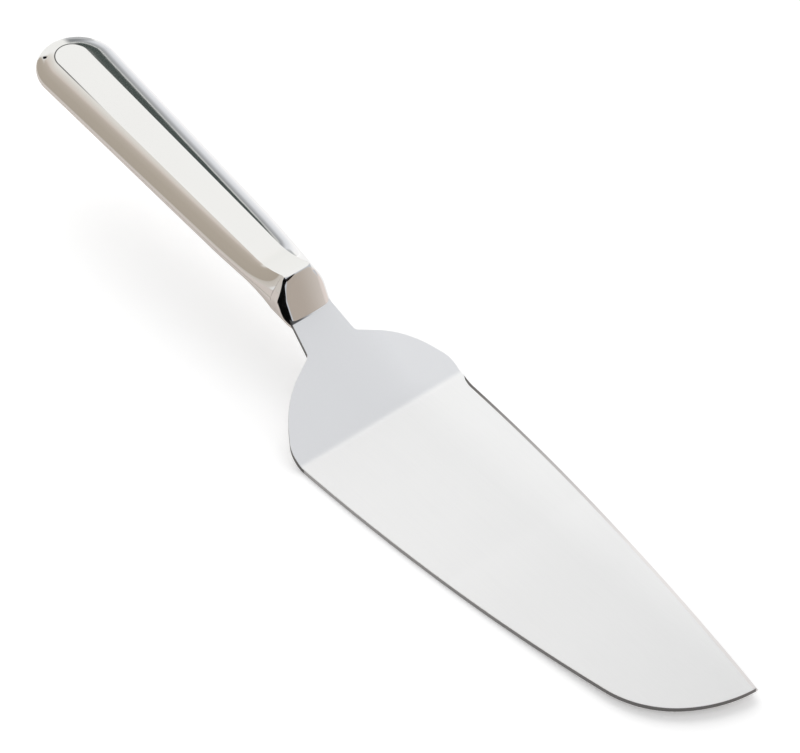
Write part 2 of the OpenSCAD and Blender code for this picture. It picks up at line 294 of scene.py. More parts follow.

# Where the painted marks lie, in metres: the painted dark reflection under the crest, the painted shade in
# the panel's crease and where the neck leaves the bolster, and the painted light and shade along the blade. A
# pair is the start and the end of a soft step.
WEDGE_DEPTH = 0.0009
WEDGE_ACROSS = (-0.0003, -0.0046)
WEDGE_SOFTNESS = (0.0, 0.0001)
WEDGE_BACK = (0.0002, 0.0)
LINE_WIDTH = (0.00026, 0.00008)
LINE_RUN_OUT = (0.026, 0.002)
LINE_NEAR_SIDE = (0.0045, 0.0015)
LINE_HEIGHT = (0.001, 0.0015)
SEAM_WIDTH = (0.00045, 0.00015)
SEAM_ACROSS = (0.002, -0.005)
SEAM_BEHIND = (0.0, -0.0002)
SEAM_SIDE = (-0.004, -0.005)
MIDDLE_FADE = (0.045, 0.085)
TIP_FADE = (0.095, 0.150)
FAR_SIDE = (0.006, 0.021)
SLOPE_PART = (0.008, 0.002)
SLOPE_FAR_SIDE = (-0.004, 0.016)


def surface(name):
    """An empty material with a Principled shader, ready for wiring."""
    material = bpy.data.materials.new(name)
    material.use_nodes = True
    tree = material.node_tree
    tree.nodes.clear()
    shader = tree.nodes.new("ShaderNodeBsdfPrincipled")
    end = tree.nodes.new("ShaderNodeOutputMaterial")
    tree.links.new(shader.outputs[0], end.inputs["Surface"])
    return material, tree, shader


def noise(tree, place, scale, detail=2.0, roughness=0.5):
    given = {"Vector": place, "Scale": scale, "Detail": detail, "Roughness": roughness}
    return add(tree, "ShaderNodeTexNoise", {}, given)


def object_place(tree):
    return add(tree, "ShaderNodeTexCoord", {}, {}, "Object")


def stretched(tree, scale):
    """Object coordinates squeezed by a different amount on each axis."""
    return add(tree, "ShaderNodeMapping", {}, {"Vector": object_place(tree), "Scale": scale})


def bumped(tree, strength, distance, height):
    given = {"Strength": strength, "Distance": distance, "Height": height}
    return add(tree, "ShaderNodeBump", {}, given)


def tinted(tree, tone, tint):
    """A colour whose red is the tone, and whose green and blue are their shares of it."""
    green, blue = tint
    return add(tree, "ShaderNodeCombineColor", {}, {"Red": tone, "Green": tone * green, "Blue": tone * blue})


def in_handle(tree, place):
    """How far a place lies behind the crest, across the handle and above the rim, in metres."""
    x, y, z = parts(tree, place)
    x, z = x - RIM_X / METRE, z - RIM_Z / METRE
    return z * math.sin(TILT) - x * math.cos(TILT), y, x * math.sin(TILT) + z * math.cos(TILT)


def crest_painted_reflection(back, y, height):
    """The painted dark reflection in the wedge under the near half of the bolster's crest."""
    depth = CREST / METRE - height
    deep = WEDGE_DEPTH * y.step(*WEDGE_ACROSS)
    return (deep - depth).step(*WEDGE_SOFTNESS) * back.step(*WEDGE_BACK)


def panel_crease_painted_shade(back, y, height):
    """Painted shade: a fine dark line in the crease round the end of the upper panel, fading along its near
    side.
    """
    centre = PANEL_CENTRE / METRE
    past = (back - centre).at_least(0.0)
    widen = (PANEL_END_HALF - PANEL_HALF) / (PANEL_CENTRE - FLARE_LENGTH)
    half = PANEL_END_HALF / METRE - (centre - back).at_least(0.0) * widen
    off = ((past ** 2.0 + y ** 2.0).root() - half).size()
    run_out = (centre - back).step(*LINE_RUN_OUT)
    near = (y - past).step(*LINE_NEAR_SIDE)
    return off.step(*LINE_WIDTH) * run_out * near * height.step(*LINE_HEIGHT)


def neck_joint_painted_shade(x, y):
    """Painted shade: the dark line where the neck leaves the bolster, with the neck's near side behind it."""
    past = x - (BEND_X + JOINT_X) / METRE
    line = past.size().step(*SEAM_WIDTH) * y.step(*SEAM_ACROSS)
    return line.at_least(past.step(*SEAM_BEHIND) * y.step(*SEAM_SIDE))


def satin_steel():
    """Sheet steel with a fine lengthwise satin grain and faint handling marks, painted light and shade along
    the blade, a painted dark reflection and shade on the cut edge and painted shade where the neck leaves the
    bolster.
    """
    material, tree, shader = surface("satin_steel")
    place = object_place(tree)
    grain = noise(tree, stretched(tree, GRAIN_SCALE), scale=1.0, detail=3.0, roughness=0.6)
    marks = noise(tree, stretched(tree, MARKS_SCALE), scale=0.35, detail=1.0)
    cloud = noise(tree, place, scale=22.0, detail=3.0, roughness=0.55)
    cut = add(tree, "ShaderNodeAttribute", {"attribute_name": "cut_edge"}, {}, "Fac")
    x, y, _ = parts(tree, place)
    # Painted light and shade: darker towards the middle and the tip, lighter on the far side and on the far
    # side of the slope.
    painted_light_and_shade = 1 - MIDDLE_PAINTED_SHADE * x.step(*MIDDLE_FADE) - TIP_PAINTED_SHADE * x.step(*TIP_FADE)
    painted_light_and_shade = painted_light_and_shade + FAR_PAINTED_LIGHT * y.step(*FAR_SIDE)
    painted_light_and_shade = painted_light_and_shade + SLOPE_PAINTED_LIGHT * x.step(*SLOPE_PART) * y.step(*SLOPE_FAR_SIDE)
    tone = ((SATIN_TONE + GRAIN_TONE * grain + CLOUD_TONE * cloud) * painted_light_and_shade).at_most(1.0)
    # The painted dark reflection and shade on the cut edge, and the painted shade where the neck leaves the
    # bolster.
    tone = tone * (1 - EDGE_PAINTED_REFLECTION * cut) * (1 - NECK_PAINTED_SHADE * neck_joint_painted_shade(x, y))
    rough = SATIN_ROUGHNESS + GRAIN_ROUGHNESS * grain + CLOUD_ROUGHNESS * cloud
    height = grain + MARKS_HEIGHT * marks
    plug(tree, shader.inputs["Base Color"], tinted(tree, tone, SATIN_TINT))
    plug(tree, shader.inputs["Roughness"], rough)
    plug(tree, shader.inputs["Normal"], bumped(tree, strength=0.12, distance=0.00002, height=height))
    shader.inputs["Metallic"].default_value = SATIN_METALLIC
    return material


def polished_steel():
    """Mirror-polished steel with a trace of buffing lines and finger haze, painted shade in the panel's
    crease and a painted dark reflection under the crest.
    """
    material, tree, shader = surface("polished_steel")
    place = object_place(tree)
    haze = noise(tree, place, scale=60.0, detail=4.0, roughness=0.6)
    lines = noise(tree, stretched(tree, BUFFING_SCALE), scale=1.0)
    spot = in_handle(tree, place)
    tone = MIRROR_TONE + HAZE_TONE * haze
    # Painted shade in the panel's crease and a painted dark reflection in the wedge under the crest.
    tone = tone * (1 - CREASE_PAINTED_SHADE * panel_crease_painted_shade(*spot)) * (1 - WEDGE_PAINTED_REFLECTION * crest_painted_reflection(*spot))
    plug(tree, shader.inputs["Base Color"], tinted(tree, tone, MIRROR_TINT))
    plug(tree, shader.inputs["Roughness"], MIRROR_ROUGHNESS + HAZE_ROUGHNESS * haze)
    plug(tree, shader.inputs["Normal"], bumped(tree, strength=0.04, distance=0.00002, height=lines))
    shader.inputs["Metallic"].default_value = 1.0
    return material


def hard_cement():
    """Brown filler with sandy grains and small pits."""
    material, tree, shader = surface("hard_cement")
    place = object_place(tree)
    sand = noise(tree, place, scale=900.0, detail=5.0, roughness=0.7)
    patch = noise(tree, place, scale=120.0)
    mixed = SAND_SHARE * sand + (1 - SAND_SHARE) * patch
    browns = add(tree, "ShaderNodeValToRGB", {"stops": CEMENT_BROWNS}, {"Fac": mixed})
    plug(tree, shader.inputs["Base Color"], browns)
    plug(tree, shader.inputs["Roughness"], CEMENT_ROUGHNESS + SAND_ROUGHNESS * sand)
    plug(tree, shader.inputs["Normal"], bumped(tree, strength=0.5, distance=0.0002, height=sand))
    return material


SATIN = satin_steel()
POLISHED = polished_steel()
CEMENT = hard_cement()


# Mesh helpers

def to_frame(points):
    """Millimetres in the object's frame to metres."""
    return [tuple(float(c) / METRE for c in p) for p in points]


def new_object(name, data):
    """An object for the data, in the scene."""
    made = bpy.data.objects.new(name, data)
    bpy.context.scene.collection.objects.link(made)
    return made


def piece(name, points, faces, material, sharp=None):
    """A smooth-shaded mesh from points in millimetres, with sharp edges past an angle."""
    mesh = bpy.data.meshes.new(name)
    mesh.from_pydata(to_frame(points), [], faces)
    mesh.materials.append(material)
    mesh.shade_smooth()
    if sharp:
        mesh.set_sharp_from_angle(angle=math.radians(sharp))
    mesh.update()
    return new_object(name, mesh)


def settled(made, name):
    """The object's evaluated shape as a plain mesh object that takes its place."""
    shown = made.evaluated_get(bpy.context.evaluated_depsgraph_get())
    mesh = bpy.data.meshes.new_from_object(shown)
    mesh.name = name
    old = made.data
    made.modifiers.clear()
    made.data = mesh
    made.name = name
    if old.users == 0:
        bpy.data.meshes.remove(old)
    return made


def from_handle(points):
    """Points in the handle's own frame, forward along the rim, to the object's frame."""
    points = np.asarray(points, float)
    x = RIM_X + points[:, 0] * math.cos(TILT) + points[:, 2] * math.sin(TILT)
    z = RIM_Z - points[:, 0] * math.sin(TILT) + points[:, 2] * math.cos(TILT)
    return np.column_stack([x, points[:, 1], z])


def on_circle(centre, radius, angle):
    return np.array(centre) + radius * np.array([math.cos(angle), math.sin(angle)])


def curve(centre, radius, start, turn, steps):
    """Points along an arc from one direction through a turn, with both ends."""
    return [on_circle(centre, radius, start + turn * i / steps) for i in range(steps + 1)]


def bands(count, rings):
    """The four-sided faces between each ring of points and the next."""
    ring = [(i, (i + 1) % count, count + (i + 1) % count, count + i) for i in range(count)]
    return [tuple(r * count + corner for corner in face) for r in range(rings - 1) for face in ring]


# Blade

EDGE_DROP = EDGE_RADIUS - math.sqrt(EDGE_RADIUS ** 2 - EDGE_SETBACK ** 2)
FAR_CENTRE = np.array([-EDGE_SETBACK, BLADE_WIDTH / 2 + EDGE_DROP - EDGE_RADIUS])
NEAR_CENTRE = np.array([FAR_CENTRE[0], -FAR_CENTRE[1]])

# The mesh of the sheet: how far apart its points and rows lie, and how its edge is stepped.
SHEET_CREASE = 27
LONG_ARC_SPACING = 1.0
TIP_ARC_SPACING = 0.7
BEND_STRETCH = (-4.0, 2.5)
INSIDE_MARGIN = 1.0
FINE_SPACING = 0.35
OPEN_SPACING = 1.2
TANG_OVERRUN = 3.0
TANG_ROWS = 1.0
BEND_ROWS = 0.25
SHEET_ROWS = 2.2
BEND_ROWS_START = -3.4
BEND_ROWS_END = 1.6
FLAT_ROWS_START = 2.0
EDGE_CLEARANCE = 0.4
MERGE_GAP = 1e-6
INSIDE_ONLY = 1
SHARP_TURN = 0.05
EDGE_STEPS = 4
EDGE_LAND = 0.12

# How dark the painted reflection and shade on the cut edge are: the painted dark reflection on the ground
# edge fades towards the tip, and the near edge's painted reflection and shade darkens towards it.
GROUND_FADE = 0.9
GROUND_FADE_START = 6.0
GROUND_FADE_LENGTH = 70.0
SLOPE_EDGE = 0.92
SLOPE_EDGE_END = 0.01
NEAR_EDGE = 0.50
NEAR_EDGE_GAIN = 0.40
NEAR_EDGE_MOST = 0.86


def edge_y(x):
    """Y of the far long edge at one X from the bend."""
    return FAR_CENTRE[1] + math.sqrt(EDGE_RADIUS ** 2 - (x - FAR_CENTRE[0]) ** 2)


FRONT_RADIUS = FRONT_ROUNDNESS * edge_y(FLAT_LENGTH)
FRONT_CORNER = CORNER_SHARE * FRONT_RADIUS


def arc(centre, radius, start, end, spacing):
    """Points along an arc between the directions of two points, without the last."""
    a = math.atan2(*(np.array(start) - centre)[::-1])
    b = math.atan2(*(np.array(end) - centre)[::-1])
    steps = max(2, int(abs(b - a) * radius / spacing))
    return curve(centre, radius, a, b - a, steps)[:-1]


def rounded(before, corner, after, radius, steps):
    """A corner of the outline replaced by an arc that touches both sides."""
    before, corner, after = (np.array(p, float) for p in (before, corner, after))
    u = (before - corner) / np.linalg.norm(before - corner)
    v = (after - corner) / np.linalg.norm(after - corner)
    half = math.acos(float(u @ v)) / 2
    centre = corner + (u + v) / np.linalg.norm(u + v) * radius / math.sin(half)
    a = corner + u * radius / math.tan(half) - centre
    b = corner + v * radius / math.tan(half) - centre
    start = math.atan2(a[1], a[0])
    turn = math.atan2(a[0] * b[1] - a[1] * b[0], float(a @ b))
    return curve(centre, radius, start, turn, steps)


def blade_outline():
    """The whole sheet seen from above, from the tang's far corner round the tip and back."""
    tip = np.array([FLAT_LENGTH, edge_y(FLAT_LENGTH)])
    front_centre = tip + FRONT_RADIUS * np.array([-math.cos(FRONT_LEAN), math.sin(FRONT_LEAN)])
    gap = front_centre - NEAR_CENTRE
    span = np.linalg.norm(gap)
    far_reach, near_reach = EDGE_RADIUS - FRONT_CORNER, FRONT_RADIUS - FRONT_CORNER
    along = (far_reach ** 2 - near_reach ** 2 + span ** 2) / (2 * span)
    side = math.sqrt(far_reach ** 2 - along ** 2)
    corner = NEAR_CENTRE + gap / span * along + np.array([-gap[1], gap[0]]) / span * side
    front_end = front_centre + (corner - front_centre) / near_reach * FRONT_RADIUS
    near_start = NEAR_CENTRE + (corner - NEAR_CENTRE) / far_reach * EDGE_RADIUS
    tongue = JOINT_X - TONGUE_LENGTH * math.cos(SLOPE)
    root = (-NECK_ROOT_BACK, NECK_ROOT_WIDTH / 2)
    shoulder = (-SHOULDER_BACK, BLADE_WIDTH / 2 - SHOULDER_INSET)
    full = (-FULL_WIDTH_BACK, edge_y(-FULL_WIDTH_BACK))
    bend = np.array([0.0, BLADE_WIDTH / 2])
    tang = tang_tip()[0]
    far_side = [np.array([tang, TANG_WIDTH / 2]), np.array([tongue, TANG_WIDTH / 2]),
                np.array([tongue, NECK_WIDTH / 2]), np.array([JOINT_X, NECK_WIDTH / 2])]
    far_side += rounded(far_side[-1], root, shoulder, ROOT_RADIUS, steps=8)
    far_side += rounded(root, shoulder, full, SHOULDER_RADIUS, steps=30)
    far_side += rounded(shoulder, full, bend, FULL_WIDTH_RADIUS, steps=10)
    near_side = [np.array([p[0], -p[1]]) for p in reversed(far_side)]
    points = far_side + arc(FAR_CENTRE, EDGE_RADIUS, bend, tip, LONG_ARC_SPACING)
    tip_at = len(points)
    points += arc(front_centre, FRONT_RADIUS, tip, front_end, TIP_ARC_SPACING)
    points += arc(corner, FRONT_CORNER, front_end, near_start, TIP_ARC_SPACING)
    points += arc(NEAR_CENTRE, EDGE_RADIUS, near_start, (0.0, -bend[1]), LONG_ARC_SPACING)
    points += [np.array([0.0, -bend[1]])] + near_side
    return refined(points, tip_at)


def refined(points, tip_at):
    """The outline with enough points on each stretch to follow the sheet's bends."""
    out, tip = [], 0
    for i, p in enumerate(points):
        q = points[(i + 1) % len(points)]
        if i == tip_at:
            tip = len(out)
        near_bend = min(p[0], q[0]) < BEND_STRETCH[1] and max(p[0], q[0]) > BEND_STRETCH[0]
        inside = min(p[0], q[0]) < JOINT_X - INSIDE_MARGIN
        limit = FINE_SPACING if near_bend or inside else OPEN_SPACING
        steps = max(1, int(math.ceil(np.linalg.norm(q - p) / limit)))
        out += [p + (q - p) * k / steps for k in range(steps)]
    return np.array(out), tip


def back_along(angle):
    """Back and up a slope, in X and Z."""
    return np.array([-math.cos(angle), math.sin(angle)])


def square_to(angle):
    """Straight up from the top face of a slope, in X and Z."""
    return np.array([math.sin(angle), math.cos(angle)])


def tang_centre():
    end = np.array([JOINT_X, JOINT_Z]) + TANG_SLOPE_LENGTH * back_along(SLOPE)
    return end - (TANG_BEND_RADIUS + SHEET) * square_to(SLOPE)


def tang_tip():
    start = tang_centre() + (TANG_BEND_RADIUS + SHEET) * square_to(TILT)
    return start + TANG_LENGTH * back_along(TILT)


def sheet_face(above):
    """Heights of one face of the sheet against X from the bend, from past the tang's end to past the tip."""
    rest = FLAT_LENGTH * REST_SHARE
    rise = FLAT_LENGTH - rest
    radius = (rise ** 2 + TIP_RISE ** 2) / (2 * TIP_RISE)
    bend = (BEND_RADIUS * math.tan(SLOPE / 2), SHEET + BEND_RADIUS)
    down = math.radians(270)
    points = curve((rest, radius), radius - SHEET - above, down, 2 * math.asin(rise / radius), steps=80)[::-1]
    points += curve(bend, BEND_RADIUS - above, down, -SLOPE, steps=24)
    tang_radius = TANG_BEND_RADIUS + SHEET + above
    points += curve(tang_centre(), tang_radius, math.pi / 2 - SLOPE, SLOPE - TILT, steps=16)
    past = (TANG_OVERRUN + above * math.tan(TILT)) * back_along(TILT)
    points += [tang_tip() + past + above * square_to(TILT)]
    points = np.array(points[::-1])
    return points[:, 0], points[:, 1]


TOP_FACE = sheet_face(0.0)
LOWER_FACE = sheet_face(-SHEET)


def inset_outline(points, depths):
    """The outline moved inwards, each side by its own depth, with mitred corners."""
    ahead = np.roll(points, -1, axis=0) - points
    ahead /= np.linalg.norm(ahead, axis=1)[:, None]
    inward_next = np.column_stack([ahead[:, 1], -ahead[:, 0]])
    inward_last = np.roll(inward_next, 1, axis=0)
    last_depth = np.roll(depths, 1)
    moved = points.copy()
    for i, (a, b, da, db) in enumerate(zip(inward_last, inward_next, last_depth, depths)):
        turn = a[0] * b[1] - a[1] * b[0]
        if abs(turn) > SHARP_TURN:
            moved[i] += np.linalg.solve(np.array([a, b]), np.array([da, db]))
        else:
            moved[i] += (a + b) / np.linalg.norm(a + b) * (da + db) / 2
    return moved


def fill(loop):
    """Flat triangles inside a loop, with rows of points close together at the bends."""
    xs = list(np.arange(loop[:, 0].min(), JOINT_X, TANG_ROWS))
    xs += list(np.arange(JOINT_X, BEND_ROWS_START, SHEET_ROWS))
    xs += list(np.arange(BEND_ROWS_START, BEND_ROWS_END, BEND_ROWS))
    xs += list(np.arange(FLAT_ROWS_START, loop[:, 0].max(), SHEET_ROWS))
    closed = np.vstack([loop, loop[:1]])
    inside = []
    for x in xs:
        crossings = []
        for p, q in zip(closed[:-1], closed[1:]):
            if (p[0] - x) * (q[0] - x) < 0:
                crossings.append(p[1] + (q[1] - p[1]) * (x - p[0]) / (q[0] - p[0]))
        crossings.sort()
        for low, high in zip(crossings[::2], crossings[1::2]):
            room = high - low - 2 * EDGE_CLEARANCE
            if high - low > 4 * EDGE_CLEARANCE:
                steps = max(1, int(room / SHEET_ROWS))
                inside += [(x, low + EDGE_CLEARANCE + room * k / steps) for k in range(steps + 1)]
    verts = [Vector(p) for p in loop] + [Vector(p) for p in inside]
    ring = list(range(len(loop)))
    out = delaunay_2d_cdt(verts, [], [ring[::-1]], INSIDE_ONLY, MERGE_GAP)
    return np.array([tuple(v) for v in out[0]]), out[2], out[3]


def bevel_share(outline, tip_at):
    """How far the ground bevel has run in at each point of the outline."""
    start = BEND_RADIUS * math.tan(SLOPE / 2)
    share = np.zeros(len(outline))
    for i, p in enumerate(outline):
        if i <= tip_at and p[0] > start and p[1] > 0:
            share[i] = math.sin(math.pi / 2 * min(1.0, (p[0] - start) / BEVEL_RUN_IN))
    return share


def quarter_round(t):
    """How far in and how far down an edge of radius 1 lies, a share of the way round it."""
    return 1 - math.sin(t * math.pi / 2), 1 - math.cos(t * math.pi / 2)


def sheet_rings(outline, share, tip_at):
    """Each ring of points with its heights, from the top face over the edge to the lower face."""
    side_share = share.copy()
    side_share[tip_at] = 0.0
    top_depth = np.maximum(EDGE_SOFTNESS, BEVEL_WIDTH * side_share)
    drop = np.maximum(EDGE_SOFTNESS, BEVEL_DROP * share)
    soft = np.full(len(outline), EDGE_SOFTNESS)
    rings = []

    def ring(depth, face, lift):
        loop = inset_outline(outline, depth)
        rings.append((loop, np.interp(loop[:, 0], *face) + lift))

    ring(top_depth + EDGE_LAND, TOP_FACE, 0.0)
    for k in range(EDGE_STEPS + 1):
        t = k / EDGE_STEPS
        inwards, down = quarter_round(t)
        depth = np.where(side_share > 0, top_depth * (1 - t), top_depth * inwards)
        ring(depth, TOP_FACE, -np.where(share > 0, drop * t, drop * down))
    for k in range(EDGE_STEPS, -1, -1):
        inwards, down = quarter_round(k / EDGE_STEPS)
        ring(soft * inwards, LOWER_FACE, EDGE_SOFTNESS * down)
    ring(soft + EDGE_LAND, LOWER_FACE, 0.0)
    return rings


def turn_of(corners):
    """Above zero where flat corners run anticlockwise."""
    return sum(a[0] * b[1] - b[0] * a[1] for a, b in zip(corners, corners[1:] + corners[:1]))


def edge_painted_reflection_and_shade(outline, share, ring_count, face_count):
    """How dark the painted reflection and shade on each face of the cut edge are, and 0 for the faces of the
    sheet.
    """
    count = len(outline)
    dark = np.zeros(face_count, np.float32)
    for r in range(1, ring_count - 2):
        for i in range(count):
            x = outline[i, 0]
            if share[i] > 0 or share[(i + 1) % count] > 0:
                faded = min(1.0, max(0.0, (x - GROUND_FADE_START) / GROUND_FADE_LENGTH))
                dark[r * count + i] = 1.0 - GROUND_FADE * faded
            elif r >= EDGE_STEPS:
                ahead = x / FLAT_LENGTH
                beside = min(NEAR_EDGE_MOST, NEAR_EDGE + NEAR_EDGE_GAIN * ahead)
                dark[r * count + i] = SLOPE_EDGE if ahead < SLOPE_EDGE_END else beside
    return dark


def serving_blade():
    """The whole sheet: its edge as rings, closed by a filled top and lower face."""
    outline, tip_at = blade_outline()
    count = len(outline)
    share = bevel_share(outline, tip_at)
    rings = sheet_rings(outline, share, tip_at)
    points = [(p[0] + BEND_X, p[1], h) for loop, heights in rings for p, h in zip(loop, heights)]
    faces = bands(count, len(rings))
    for r, face, upper in ((0, TOP_FACE, True), (len(rings) - 1, LOWER_FACE, False)):
        flat, triangles, source = fill(rings[r][0])
        numbers = []
        for k, p in enumerate(flat):
            known = [s for s in source[k] if s < count]
            if known:
                numbers.append(r * count + known[0])
            else:
                numbers.append(len(points))
                points.append((p[0] + BEND_X, p[1], float(np.interp(p[0], *face))))
        for t in triangles:
            corners = tuple(numbers[k] for k in t)
            upward = turn_of([flat[k] for k in t]) > 0
            faces.append(corners if upward == upper else corners[::-1])
    made = piece("serving_blade_sheet", points, faces, SATIN, SHEET_CREASE)
    # The painted dark reflection and shade on the cut edge, stored on its faces.
    cut = made.data.attributes.new("cut_edge", "FLOAT", "FACE")
    cut.data.foreach_set("value", edge_painted_reflection_and_shade(outline, share, len(rings), len(faces)))
    return made


# Handle

# How finely the pieces are divided, and how wide the bolster's soft edge is.
PROFILE_POWER = 2.0
PANEL_STEPS = 4
BOLSTER_CREASE = 32
BOLSTER_STEPS = 26
SPIGOT_STEPS = 8
SIDE_STEPS = 8
ROUND_STEPS = 8
FACE_STEPS = 25
ROUND_RUN = 1.2
CORNER_BAND = 1.6


def nearness(back, length):
    """1 up to the end of the land, falling to 0 at a length behind the crest."""
    return min(max((length - back) / (length - CREST_LAND), 0.0), 1.0)


def flare(back):
    return nearness(back, FLARE_LENGTH) ** FLARE_POWER


def rim_half(back):
    """Half width of the handle at the rim, with the narrowing next to the bolster."""
    taper = FRONT_HALF / math.cos(TAPER) + back * math.tan(TAPER)
    return taper - (FRONT_HALF - BOLSTER_HALF) * nearness(back, NARROWING_LENGTH) ** NARROWING_POWER


def section(back, inset, steps):
    """One full cross-section of the handle as (y, z) points, over the top and back below."""
    half = rim_half(back) - inset
    panel = PANEL_HALF + (CREST_HALF - PANEL_HALF) * flare(back) - inset / 2
    share = (half - panel) / half
    runs = []
    for (butt, front, crest), end_power in ((UPPER_HEIGHTS, CREST_POWER), (LOWER_HEIGHTS, BELLY_POWER)):
        power = SIDE_POWER + (end_power - SIDE_POWER) * flare(back)
        height = front + (butt - front) * back / HANDLE_LENGTH + (crest - front) * flare(back) - inset
        run = []
        for j in range(steps + 1):
            t = (j / steps) ** PROFILE_POWER
            bulge = (1 - (1 - share * t) ** power) / (1 - (1 - share) ** power)
            run.append((-(half + (panel - half) * t), height * bulge ** (1 / power)))
        run += [(-panel * (1 - k / PANEL_STEPS), height) for k in range(1, PANEL_STEPS)]
        runs.append(run + [(0.0, height)] + [(-y, z) for y, z in reversed(run)])
    upper, lower = runs
    return np.array(upper + [(y, -z) for y, z in reversed(lower[1:-1])])


def bolster_front(y, z):
    """How far forward of the crest the raked face lies at one point of the section."""
    block_half = rim_half(CREST_LAND) + CORNER_RELIEF
    over = np.clip(np.abs(y) - (block_half - BOLSTER_CORNER), 0, BOLSTER_CORNER)
    back = BOLSTER_CORNER - np.sqrt(BOLSTER_CORNER ** 2 - over ** 2)
    return (CREST - z) * math.tan(FACE_RAKE) - back / math.cos(FACE_RAKE) - FACE_CROWN * (y / block_half) ** 2


def ring_at(x, loop):
    """A ring of points in the handle's frame from its X, one or one for each point, and its (y, z) loop."""
    return np.column_stack([np.broadcast_to(x, len(loop)), loop])


def bolster():
    """The block as rings, from the end of the spigot to the middle of the raked face."""
    outer = section(CREST_LAND, 0.0, BOLSTER_STEPS)
    size = len(outer)
    rings = []
    for k in range(SPIGOT_STEPS, -1, -1):
        back = CREST_LAND + SPIGOT_LENGTH * k / SPIGOT_STEPS
        rings.append(ring_at(-back, section(back, WALL + FIT_GAP, BOLSTER_STEPS)))
    rings.append(ring_at(-CREST_LAND, section(CREST_LAND, WALL, BOLSTER_STEPS)))
    rings.append(ring_at(-CREST_LAND, outer))
    inward = -outer / np.linalg.norm(outer, axis=1)[:, None]
    front = bolster_front(outer[:, 0], outer[:, 1])
    beside = np.clip((np.abs(outer[:, 0]) - CREST_HALF + CORNER_BAND / 2) / CORNER_BAND, 0, 1)
    soft = CREST_SOFTNESS + (CORNER_SOFTNESS - CREST_SOFTNESS) * beside ** 2 * (3 - 2 * beside)
    for k in range(1, SIDE_STEPS + 1):
        rings.append(ring_at(-CREST_LAND + (front - ROUND_RUN * soft + CREST_LAND) * k / SIDE_STEPS, outer))
    for k in range(1, ROUND_STEPS + 1):
        turn = math.pi / 2 * k / ROUND_STEPS
        loop = outer + inward * (soft * (1 - math.cos(turn)))[:, None]
        x = bolster_front(loop[:, 0], loop[:, 1]) - ROUND_RUN * soft * (1 - math.sin(turn))
        rings.append(ring_at(x, loop))
    edge = outer + inward * soft[:, None]
    for k in range(1, FACE_STEPS):
        loop = edge * (1 - k / FACE_STEPS)
        rings.append(ring_at(bolster_front(loop[:, 0], loop[:, 1]), loop))
    ends = np.array([(bolster_front(0.0, 0.0), 0.0, 0.0), (-CREST_LAND - SPIGOT_LENGTH, 0.0, 0.0)])
    last = (len(rings) - 1) * size
    centre = len(rings) * size
    faces = [(a, d, c, b) for a, b, c, d in bands(size, len(rings))]
    faces += [(last + i, centre, last + (i + 1) % size) for i in range(size)]
    faces += [((i + 1) % size, centre + 1, i) for i in range(size)]
    return piece("bolster_block", from_handle(np.vstack(rings + [ends])), faces, POLISHED, BOLSTER_CREASE)


# The inputs of the shell's rule, in millimetres. The first four are set for each half.
SHELL_SIZES = [
    ("butt height", None), ("front height", None), ("crest height", None), ("crest power", None),
    ("front half width", FRONT_HALF / math.cos(TAPER)), ("taper", math.tan(TAPER)), ("taper angle", TAPER),
    ("handle length", HANDLE_LENGTH), ("butt radius", BUTT_RADIUS), ("butt centre", BUTT_CENTRE),
    ("side end", SIDE_END), ("side power", SIDE_POWER), ("crest land", CREST_LAND),
    ("crest half width", CREST_HALF), ("flare length", FLARE_LENGTH), ("panel half width", PANEL_HALF),
    ("panel end half width", PANEL_END_HALF), ("panel centre", PANEL_CENTRE),
    ("narrowing length", NARROWING_LENGTH), ("narrowing", FRONT_HALF - BOLSTER_HALF),
]

# The shell's grid: its rows, the share of them before the round butt, how both are spread, and its limits.
SHELL_ROWS = 181
SIDE_ROWS = 0.7
ROW_POWER = 1.5
ROW_SHIFT_POWER = 12.0
PROFILE_STEPS = 18
ON_BUTT = 1e-5
SHELL_MERGE = 0.001
PANEL_FLATNESS = 2e-4


